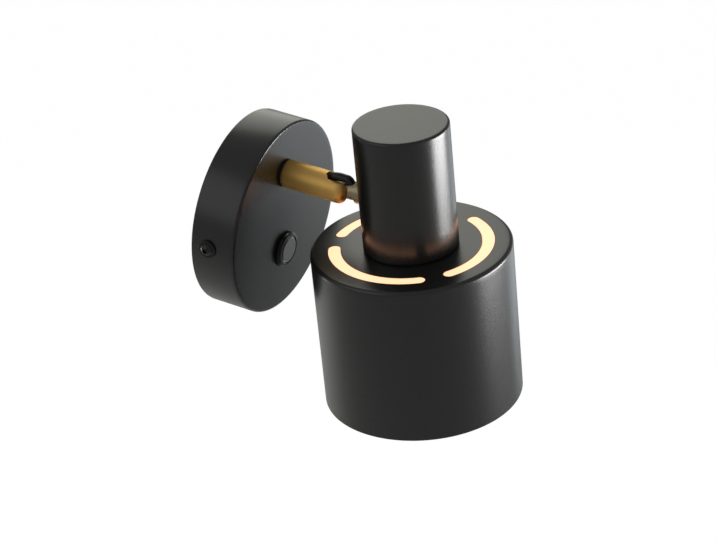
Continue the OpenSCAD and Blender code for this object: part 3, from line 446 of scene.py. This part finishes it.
def coil_tree():
    """Coil spring with evenly spaced turns and closed round wire."""
    t = Tree("coil_spring", [("Turns", "NodeSocketFloat"), ("Radius", "NodeSocketFloat"),
                             ("Height", "NodeSocketFloat"), ("Wire", "NodeSocketFloat")])
    coil = t.add("GeometryNodeCurveSpiral", Resolution=40, Rotations=t.given["Turns"],
                 Start_Radius=t.given["Radius"], End_Radius=t.given["Radius"],
                 Height=t.given["Height"])
    section = t.add("GeometryNodeCurvePrimitiveCircle", Resolution=10,
                    Radius=t.math("DIVIDE", t.given["Wire"], 2))
    wire = t.add("GeometryNodeCurveToMesh", Curve=coil.outputs[0],
                 Profile_Curve=section.outputs[0])
    wire.inputs["Fill Caps"].default_value = True
    return t.close(wire.outputs[0])


TURNING = turning_tree()
LEADING = lead_tree()
FIXING = fixing_tree()
COILING = coil_tree()


def grow(piece, tree, **values):
    """Runs a geometry tree on the object and keeps the result as its mesh."""
    identifiers = input_names(tree)
    growth = piece.modifiers.new(tree.name, "NODES")
    growth.node_group = tree
    for key, value in values.items():
        growth[identifiers[key]] = value
    settle(piece)


def arc(r, z, radius, start, end, steps=7):
    """Points of a rounded corner about (r, z), between two angles in degrees."""
    return [(r + radius * cos(radians(start + (end - start) * k / steps)),
             z + radius * sin(radians(start + (end - start) * k / steps)))
            for k in range(steps + 1)]


def turned(name, section, place, segments=160, sharp=SHARP, finish="black_paint"):
    """A piece turned from a half section in millimetres."""
    mesh = bpy.data.meshes.new(name)
    mesh.from_pydata([(r * MM, 0, z * MM) for r, z in section],
                     [(k, k + 1) for k in range(len(section) - 1)], [])
    piece = add_object(name, mesh)
    grow(piece, TURNING, Segments=segments, Finish=FINISHES[finish])
    piece.data.transform(place)
    tidy_mesh(piece.data, sharp)
    return piece


def prism(name, outline, foot, top, place):
    """A straight block over an outline in millimetres, used as a milling cutter."""
    n = len(outline)
    points = [(x * MM, y * MM, z * MM) for z in (foot, top) for x, y in outline]
    faces = [list(range(n))[::-1], list(range(n, 2 * n))]
    faces += [[k, (k + 1) % n, n + (k + 1) % n, n + k] for k in range(n)]
    mesh = bpy.data.meshes.new(name)
    mesh.from_pydata(points, [], faces)
    mesh.transform(place)
    piece = add_object(name, mesh)
    tidy_mesh(piece.data)
    return piece


def round_outline(radius, steps=64):
    """A circle about the middle, or a polygon with few steps."""
    return [(radius * cos(2 * pi * k / steps), radius * sin(2 * pi * k / steps))
            for k in range(steps)]


def screw_thread(radius, depth, start, end, pitch):
    """Crests and roots of a thread along a half section, from start towards end."""
    step = pitch if end > start else -pitch
    points = []
    for k in range(ceil((end - start) / step)):
        points += [(radius, start + step * k), (radius - depth, start + step * (k + 0.5))]
    return points


def mill(piece, *cutters, sharp=SHARP):
    """Takes the cutters out of the piece."""
    for cutter in cutters:
        cut = piece.modifiers.new("milling", "BOOLEAN")
        cut.operation = "DIFFERENCE"
        cut.solver = "EXACT"
        cut.object = cutter
    settle(piece)
    for cutter in cutters:
        bpy.data.objects.remove(cutter)
    tidy_mesh(piece.data, sharp)


def restored(node, sharp=SHARP):
    """A piece of the frame with its faces joined and its round faces shaded smooth."""
    piece = add_object(node + "_piece", frame["nodes"][node].data.copy())
    tidy_mesh(piece.data, sharp)
    return stand_for(piece, node)


def lead(name, route, diameter, node, rings=60, sides=20):
    """An insulated lead along a route in metres."""
    mesh = bpy.data.meshes.new(name)
    mesh.from_pydata([tuple(p) for p in route], [(k, k + 1) for k in range(len(route) - 1)], [])
    piece = add_object(name, mesh)
    grow(piece, LEADING, Diameter=diameter * MM, Rings=rings, Sides=sides,
         Finish=FINISHES[RECORD_SLOT[node]])
    tidy_mesh(piece.data, 50)
    return piece


def placed(name, fixing, places, node, sharp=SHARP):
    """Copies of one fixing, one on each (place, turn) pair, as one piece."""
    mesh = bpy.data.meshes.new(name)
    mesh.from_pydata([tuple(p) for p, _ in places], [], [])
    turns = mesh.attributes.new("turn", "FLOAT_VECTOR", "POINT")
    for k, (_, turn) in enumerate(places):
        turns.data[k].vector = turn
    piece = add_object(name, mesh)
    grow(piece, FIXING, Fixing=fixing, Finish=FINISHES[RECORD_SLOT[node]])
    bpy.data.objects.remove(fixing)
    tidy_mesh(piece.data, sharp)
    return stand_for(piece, node)


# Canopy

def make_canopy():
    """Spun wall cover with a rounded front edge, open at the back."""
    edge, corner = 1.2, 0.4
    inside, ceiling = CANOPY_R - CANOPY_WALL, CANOPY_OUT - CANOPY_WALL
    section = [(0, CANOPY_OUT), (CANOPY_R - edge - FACE_RING, CANOPY_OUT)]
    section += arc(CANOPY_R - edge, CANOPY_OUT - edge, edge, 90, 0, 8)
    section += [(CANOPY_R, CANOPY_OUT - edge - WALL_RING), (CANOPY_R, 0.8), (CANOPY_R - 0.12, 0.2),
                (CANOPY_R - 0.4, 0), (inside + 0.3, 0), (inside, 0.3), (inside, ceiling - WALL_RING)]
    section += arc(inside - corner, ceiling - corner, corner, 0, 90, 3)
    section += [(inside - FACE_RING, ceiling), (0, ceiling)]
    shell = turned("canopy_shell", section, ROOM, 240)
    arm_hole_r, switch_hole_r = 5.2, 8.6
    mill(shell,
         prism("arm_hole", round_outline(arm_hole_r), ceiling - 1, CANOPY_OUT + 1, ON_ARM),
         prism("switch_hole", round_outline(switch_hole_r), ceiling - 1, CANOPY_OUT + 1, ON_SWITCH))
    stand_for(shell, "canopy")


def make_side_screws():
    """Domed screws with hexagonal sockets on black washers, one each side of the canopy."""
    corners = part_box("canopy_screws")
    y, z = (corners[0].y + corners[1].y) / 2, (corners[0].z + corners[1].z) / 2
    hole, rim, seat = 2.2, 4.7, 0.8
    head_r, head_h, brim_h = 3.3, 2.2, 0.12
    shank_r, thread_depth, shank_end, pitch = 1.95, 0.35, -7.5, 0.7
    socket_w, socket_floor = 2.5, 0.9

    dome_r = (head_r ** 2 + head_h ** 2) / (2 * head_h)
    brim = degrees(asin(head_r / dome_r))
    section = arc(0, seat + head_h - dome_r, dome_r, 90, 90 - brim, 14)
    section[-1] = (head_r, seat + brim_h)
    section += [(head_r - 0.15, seat), (shank_r, seat)]
    section += screw_thread(shank_r, thread_depth, -seat, shank_end + 0.5, pitch)
    section += [(shank_r - thread_depth, shank_end), (0, shank_end - 0.3)]
    screw = turned("side_screw", section, Matrix(), 72, finish="dark_steel")
    hexagon = round_outline(socket_w / 2 / cos(pi / 6), steps=6)
    mill(screw, prism("socket", hexagon, seat + socket_floor, seat + head_h + 2, Matrix()))

    section = [(hole, 0), (rim - 0.2, 0), (rim, 0.2), (rim, seat - 0.25), (rim - 0.25, seat),
               (hole, seat), (hole, 0)]
    washer = turned("side_washer", section, Matrix(), 72, finish="black_rubber")
    places = [(Vector((side * CANOPY_R * MM, y, z)), (0, side * pi / 2, 0)) for side in (-1, 1)]
    placed("side_screws", screw, places, "canopy_screws")
    placed("side_washers", washer, places, "canopy_washers")


# Arm and knuckle

def over_pivot(along, up):
    """A place beside the pivot, so far on into the room and so far up."""
    return Vector((0, -PIVOT_OUT - along, ARM_Z + up)) * MM


def on_head(x, y, z):
    """A place on the tilted head, measured from the top of the shade on its axis."""
    return HEAD @ (Vector((x, y, z)) * MM)


# Where the lead's sloping way comes out in the fork's slot, measured from the pivot
RAMP_TOP = (-FORK_BACK + 0.05, 1.05 * TAB_H / 2)


def fork_slot_outline(beyond):
    """The fork's slot seen from above, with a round closed end."""
    half, back = FORK_W / 2, -(PIVOT_OUT - FORK_BACK + FORK_W / 2)
    return [(-half, -beyond), (half, -beyond)] + arc(0, back, half, 0, 180, 24)


def fork_flat_outline(beyond):
    """The flat on top of the fork seen from above, with a round end."""
    half, round_r = 8.0, 5.0
    outline = [(-half, -beyond), (half, -beyond), (half, -PIVOT_OUT)]
    return outline + arc(0, -PIVOT_OUT, round_r, 0, 180, 30) + [(-half, -PIVOT_OUT)]


def make_arm():
    """Brass bar with a threaded stub, a blunt end, and the fork cut into that end."""
    bore_r, bore_top, thread_depth, pitch = 2.5, 38.0, 0.28, 0.7
    tip = PIVOT_OUT + ARM_R
    section = [(0, bore_top), (bore_r, bore_top), (bore_r, STUB_END), (STUB_R - 0.4, STUB_END)]
    section += screw_thread(STUB_R, thread_depth, STUB_END + 0.5, CANOPY_OUT - 0.3, pitch)
    section += [(STUB_R, ARM_FOOT - 0.2), (STUB_R, ARM_FOOT), (ARM_R - 0.35, ARM_FOOT),
                (ARM_R - 0.1, ARM_FOOT + 0.12), (ARM_R, ARM_FOOT + 0.4),
                (ARM_R, ARM_FOOT + WALL_RING), (ARM_R, PIVOT_OUT - 8), (ARM_R, PIVOT_OUT - 1)]
    section += arc(ARM_R - ARM_END_R, tip - ARM_END_R, ARM_END_R, 0, 90, 20) + [(0, tip)]
    bar = turned("arm_bar", section, ON_ARM, 128, finish="satin_brass")

    beyond, reach, flat_rise = tip + 3, 12, 5.2
    screw_r, screw_head_r, screw_seat, screw_end = 2.05, 3.6, 4.75, -5.7
    upright = Matrix.Translation((0, 0, ARM_Z * MM))
    across = Matrix.Translation(over_pivot(0, 0)) @ Matrix.Rotation(pi / 2, 4, "Y")
    up_ramp = Matrix.Translation(over_pivot(*RAMP_TOP)) @ Matrix.Rotation(pi / 2 - RAMP, 4, "X")
    ramp_l = RAMP_TOP[1] / sin(RAMP)
    mill(bar,
         prism("fork_slot", fork_slot_outline(beyond), -reach, reach, upright),
         prism("fork_flat", fork_flat_outline(beyond), flat_rise, reach, upright),
         prism("lead_way", round_outline(LEAD_WAY_R), -ramp_l, reach, up_ramp),
         prism("screw_seat", round_outline(screw_head_r), screw_seat, reach, across),
         prism("screw_hole", round_outline(screw_r), screw_end, 6, across), sharp=40)
    stand_for(bar, "arm")


def make_knuckle_lead():
    """The sheathed lead that arches over the pivot, bent between the arm and the head."""
    dive = radians(60)
    mouth = NECK_R + 1.35 * COLLAR_T

    def up_ramp(distance):
        return over_pivot(RAMP_TOP[0] + distance * cos(RAMP), RAMP_TOP[1] + distance * sin(RAMP))

    def over_mouth(distance):
        return on_head(0, mouth + distance * cos(dive), PIVOT_Z + distance * sin(dive))

    route = [up_ramp(-3.0), up_ramp(-1.5), up_ramp(0), up_ramp(2.1),
             over_pivot(-2.16, 5.83), over_pivot(0.72, 6.56), over_pivot(3.6, 6.62),
             over_mouth(6.09), over_mouth(2.52),
             on_head(0, mouth - 1.05, PIVOT_Z), on_head(0, NECK_R + 1.9, PIVOT_Z)]
    sheath = lead("knuckle_lead_sheath", route, LEAD_D, "knuckle_lead", rings=70, sides=28)
    sheath.data.materials.clear()
    sheath.data.materials.append(FINISHES["black_sleeve"])
    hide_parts("knuckle_lead")
    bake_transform(sheath)


# Head

def make_neck():
    """Narrow cup, open at the bottom."""
    edge, lip, corner = 1.3, 1.0, 0.4
    inside, ceiling = NECK_R - NECK_WALL, NECK_H - NECK_WALL
    section = [(0, NECK_H), (NECK_R - edge - WALL_RING, NECK_H)]
    section += arc(NECK_R - edge, NECK_H - edge, edge, 90, 0, 8)
    section += [(NECK_R, NECK_H - edge - WALL_RING), (NECK_R, 2.2)]
    section += arc(NECK_R - lip, lip, lip, 0, -80, 5)
    section += [(NECK_R - lip, 0), (inside, 0), (inside, ceiling - WALL_RING)]
    section += arc(inside - corner, ceiling - corner, corner, 0, 90, 3)
    section += [(inside - FACE_RING, ceiling), (0, ceiling)]
    stand_for(turned("neck_cup", section, HEAD, 200), "neck")


def slot_outline(at):
    """A curved slot with round ends, its middle at an angle in degrees about the head."""
    end_r = SLOT_W / 2
    half = SLOT_SPAN / 2 - degrees(asin(end_r / SLOT_MIDDLE))

    def round_end(angle, start):
        x, y = SLOT_MIDDLE * cos(radians(angle)), SLOT_MIDDLE * sin(radians(angle))
        return arc(x, y, end_r, start, start + 180, 14)[1:-1]

    return (arc(0, 0, SLOT_MIDDLE + end_r, at - half, at + half, 60)
            + round_end(at + half, at + half)
            + arc(0, 0, SLOT_MIDDLE - end_r, at + half, at - half, 60)
            + round_end(at - half, at - half + 180))


def make_shade():
    """Wide drum, open at the bottom, with three curved slots in its top."""
    edge, lip, first_slot = 2.0, 0.35, 45
    hole_r, ring_radii = 14.2, (25, 34, 42.2)
    inside, foot = SHADE_R - SHADE_WALL, -SHADE_H
    section = [(hole_r, 0)] + [(r, 0) for r in ring_radii] + [(SHADE_R - edge - FACE_RING, 0)]
    section += arc(SHADE_R - edge, -edge, edge, 90, 0, 10)
    section += [(SHADE_R, -edge - FACE_RING), (SHADE_R, foot + 1.2), (SHADE_R, foot + 0.5)]
    section += arc(SHADE_R - lip, foot + lip, lip, 0, -90, 3)
    section += arc(inside + lip, foot + lip, lip, -90, -180, 3)
    section += [(inside, foot + 1.5), (inside, -edge - FACE_RING)]
    section += arc(SHADE_R - edge, -edge, edge - SHADE_WALL, 0, 90, 5)
    section += [(SHADE_R - edge - FACE_RING, -SHADE_WALL)]
    section += [(r, -SHADE_WALL) for r in reversed(ring_radii)] + [(hole_r, -SHADE_WALL), (hole_r, 0)]
    drum = turned("shade_drum", section, HEAD, 256)
    slots = [slot_outline(first_slot + k * 360 / SLOT_COUNT) for k in range(SLOT_COUNT)]
    mill(drum, *[prism("slot", slot, -SHADE_WALL - 1, 1, HEAD) for slot in slots])
    stand_for(drum, "shade")


def make_globe():
    """Round opal globe of the lamp, with its straight throat in the cap."""
    cap_tip, throat_foot, throat_r, skirt = 2.1, -17.0, 0.42 * GLOBE_D / 2, 1.0
    globe_r = GLOBE_D / 2
    middle = cap_tip - LAMP_L + globe_r
    shoulder = degrees(atan2(0.6, 0.8))
    section = [(0, throat_foot), (throat_r, throat_foot), (throat_r, throat_foot - skirt)]
    section += arc(0, middle, globe_r, shoulder, -90, 40)
    section[-1] = (0, middle - globe_r)
    bulb = turned("lamp_bulb", section, HEAD, 128, sharp=70, finish="opal_globe")
    stand_for(bulb, "lamp_globe")


# Switch

def make_switch_housing():
    """Threaded barrel with a flange on the canopy's face and a rolled lip."""
    barrel_r, thread_depth, pitch = 8.4, 0.25, 0.8
    flange_r, flange_edge = 9.3, 0.5
    lip_r, lip_edge, lip_h = 8.7, 0.35, 0.8
    bore_r, stop_r, stop_h = 7.05, 7.55, 1.15
    flange = SWITCH_OUT - lip_h
    section = [(0, SWITCH_BACK), (barrel_r - 0.4, SWITCH_BACK)]
    section += screw_thread(barrel_r, thread_depth, SWITCH_BACK + 0.8, CANOPY_OUT - 1.9, pitch)
    section += [(barrel_r, CANOPY_OUT - 1.4), (barrel_r, CANOPY_OUT),
                (flange_r - 0.3, CANOPY_OUT), (flange_r, CANOPY_OUT + 0.25)]
    section += arc(flange_r - flange_edge, flange - flange_edge, flange_edge, 0, 90, 4)
    section += arc(lip_r - lip_edge, SWITCH_OUT - lip_edge, lip_edge, 0, 90, 4)
    section += [(7.4, SWITCH_OUT), (7.12, SWITCH_OUT - 0.2), (bore_r, SWITCH_OUT - 0.5),
                (bore_r, SWITCH_OUT - stop_h), (stop_r, SWITCH_OUT - stop_h),
                (stop_r, SWITCH_FLOOR), (0, SWITCH_FLOOR)]
    body = turned("switch_body", section, ON_SWITCH, 112, finish="gloss_black")
    stand_for(body, "switch_housing")


def make_switch_button():
    """Round button, its rim rounded off, with a collar that keeps it in the housing."""
    button_r, collar_r, collar_h = 7.0, 7.5, 2.0
    section = [(0, BUTTON_OUT - 0.12), (5.0, BUTTON_OUT - 0.05), (5.9, BUTTON_OUT),
               (6.15, BUTTON_OUT - 0.02), (6.85, BUTTON_OUT - 0.55), (button_r, BUTTON_OUT - 0.8),
               (button_r, BUTTON_BACK + collar_h + 0.05), (collar_r - 0.05, BUTTON_BACK + collar_h),
               (collar_r, BUTTON_BACK + collar_h - 0.1), (collar_r, BUTTON_BACK), (0, BUTTON_BACK)]
    key = turned("switch_key", section, ON_SWITCH, 112, sharp=20, finish="gloss_grey")
    stand_for(key, "switch_button")


def make_switch_spring():
    """Coil spring behind the button, made at its length at rest."""
    wire, coil_r, turns = 0.6, 4.5, 5.0
    rise = BUTTON_BACK - SWITCH_FLOOR - wire
    foot = SWITCH_FLOOR + wire / 2
    spring = add_object("key_spring", bpy.data.meshes.new("key_spring"))
    grow(spring, COILING, Turns=turns, Radius=coil_r * MM, Height=rise * MM, Wire=wire * MM,
         Finish=FINISHES["zinc_steel"])
    spring.data.transform(ON_SWITCH @ Matrix.Translation((0, 0, foot * MM)))
    tidy_mesh(spring.data, 60)
    stand_for(spring, "switch_spring")
    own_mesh(spring)


make_canopy()
make_side_screws()
make_arm()
make_knuckle_lead()
make_neck()
make_shade()
make_globe()
make_switch_housing()
make_switch_button()
make_switch_spring()

# The other nodes keep the shape of their solids
REMADE = {"canopy", "canopy_screws", "canopy_washers", "arm", "knuckle_lead", "neck", "shade",
          "lamp_globe", "switch_housing", "switch_button", "switch_spring"}
for node in sorted(frame["nodes"]):
    if node not in REMADE:
        restored(node)


# Floor, light and camera

def math_node(nodes, links, operation, a, b):
    """One step of sums in a material. The second value may be a plain number."""
    step = nodes.new("ShaderNodeMath")
    step.operation = operation
    links.new(a, step.inputs[0])
    if isinstance(b, bpy.types.NodeSocket):
        links.new(b, step.inputs[1])
    else:
        step.inputs[1].default_value = b
    return step.outputs[0]


def floor_white():
    """Pale floor that the camera, glass and, much weaker, glossy surfaces see as plain white."""
    mirrored_share, white_share, white_strength = 0.12, 0.97, 1.02
    material, nodes, links, shader = new_finish("floor_white")
    shader.inputs["Base Color"].default_value = (0.6, 0.6, 0.6, 1)
    shader.inputs["Roughness"].default_value = 0.8
    shader.inputs["Specular IOR Level"].default_value = 0.0
    path = nodes.new("ShaderNodeLightPath").outputs
    mirrored = math_node(nodes, links, "MULTIPLY", path["Is Glossy Ray"], mirrored_share)
    clear = math_node(nodes, links, "MAXIMUM", path["Is Camera Ray"], path["Is Transmission Ray"])
    seen = math_node(nodes, links, "MAXIMUM", clear, mirrored)
    glow = nodes.new("ShaderNodeEmission")
    glow.inputs["Strength"].default_value = white_strength
    mix = nodes.new("ShaderNodeMixShader")
    links.new(math_node(nodes, links, "MULTIPLY", seen, white_share), mix.inputs[0])
    links.new(shader.outputs[0], mix.inputs[1])
    links.new(glow.outputs[0], mix.inputs[2])
    links.new(mix.outputs[0], nodes["Material Output"].inputs["Surface"])
    return material


def make_floor():
    """A wide floor below the lamp, which is no part of it."""
    half_width, drop = 6.0, 0.45
    z = cad_box[0][2] - drop
    mesh = bpy.data.meshes.new("floor")
    mesh.from_pydata([(x * half_width, y * half_width, z)
                      for x, y in ((-1, -1), (1, -1), (1, 1), (-1, 1))], [], [(0, 1, 2, 3)])
    mesh.materials.append(floor_white())
    add_object("floor", mesh)


def make_world():
    """Even soft light all round, seen as white by the camera."""
    ambient, backdrop = 0.24, 1.0
    world = bpy.data.worlds.new("studio")
    world.use_nodes = True
    nodes, links = world.node_tree.nodes, world.node_tree.links
    sky = nodes["Background"]
    sky.inputs["Color"].default_value = (1, 1, 1, 1)
    path = nodes.new("ShaderNodeLightPath")
    level = nodes.new("ShaderNodeMapRange")
    level.inputs["To Min"].default_value = ambient
    level.inputs["To Max"].default_value = backdrop
    links.new(path.outputs["Is Camera Ray"], level.inputs["Value"])
    links.new(level.outputs["Result"], sky.inputs["Strength"])
    bpy.context.scene.world = world


def softbox(name, place, width, height, power, color=(1, 1, 1)):
    """A rectangular studio light, in metres and watts, turned to the middle of the lamp."""
    lamp = bpy.data.lights.new(name, "AREA")
    lamp.shape = "RECTANGLE"
    lamp.size, lamp.size_y = width, height
    lamp.energy = power
    lamp.color = color
    light = bpy.data.objects.new(name, lamp)
    bpy.context.scene.collection.objects.link(light)
    light.location = place
    light.rotation_euler = (CENTRE - Vector(place)).to_track_quat("-Z", "Y").to_euler()


# The photograph's camera: where it looks from, in degrees and metres, and its lens
CENTRE = Vector((0, -0.055, -0.015))
AZIMUTH, ELEVATION, ROLL = radians(-61.865), radians(31.676), radians(1.712)
DISTANCE = 1.12774
SHIFT_RIGHT, SHIFT_UP = 0.009506, -0.005339
FOCAL_LENGTH_PX, PHOTO_WIDTH_PX, SENSOR_MM = 2263.066, 716, 36


def camera_axes():
    """The camera's right, its up and the way back towards it."""
    back = Vector((sin(AZIMUTH) * cos(ELEVATION), -cos(AZIMUTH) * cos(ELEVATION), sin(ELEVATION)))
    right = Vector((cos(AZIMUTH), sin(AZIMUTH), 0))
    up = back.cross(right)
    return cos(ROLL) * right + sin(ROLL) * up, -sin(ROLL) * right + cos(ROLL) * up, back


def make_camera():
    """The camera of the photograph."""
    right, up, back = camera_axes()
    data = bpy.data.cameras.new("photo_camera")
    data.lens = FOCAL_LENGTH_PX / PHOTO_WIDTH_PX * SENSOR_MM
    data.sensor_width = SENSOR_MM
    data.clip_start, data.clip_end = 0.05, 50
    camera = bpy.data.objects.new("photo_camera", data)
    bpy.context.scene.collection.objects.link(camera)
    place = CENTRE + DISTANCE * back + SHIFT_RIGHT * right + SHIFT_UP * up
    camera.matrix_world = Matrix((
        (right.x, up.x, back.x, place.x), (right.y, up.y, back.y, place.y),
        (right.z, up.z, back.z, place.z), (0, 0, 0, 1)))
    bpy.context.scene.camera = camera


make_floor()
make_world()
make_camera()
softbox("right_box", (0.33, -0.61, -0.07), 0.44, 0.19, 4.1)
softbox("side_box", (0.84, -0.26, -0.29), 0.4, 0.4, 0.5, (0.84, 0.93, 1.0))
softbox("left_box", (-0.72, 0.45, 0.46), 0.9, 0.7, 0.75)
softbox("top_box", (0.62, 0.42, 0.26), 0.45, 0.75, 1.2, (1.0, 1.0, 0.90))
softbox("back_box", (0.12, 0.78, -0.36), 0.7, 0.25, 2.2, (1.0, 0.99, 0.90))

bpy.context.scene.view_settings.view_transform = "Standard"
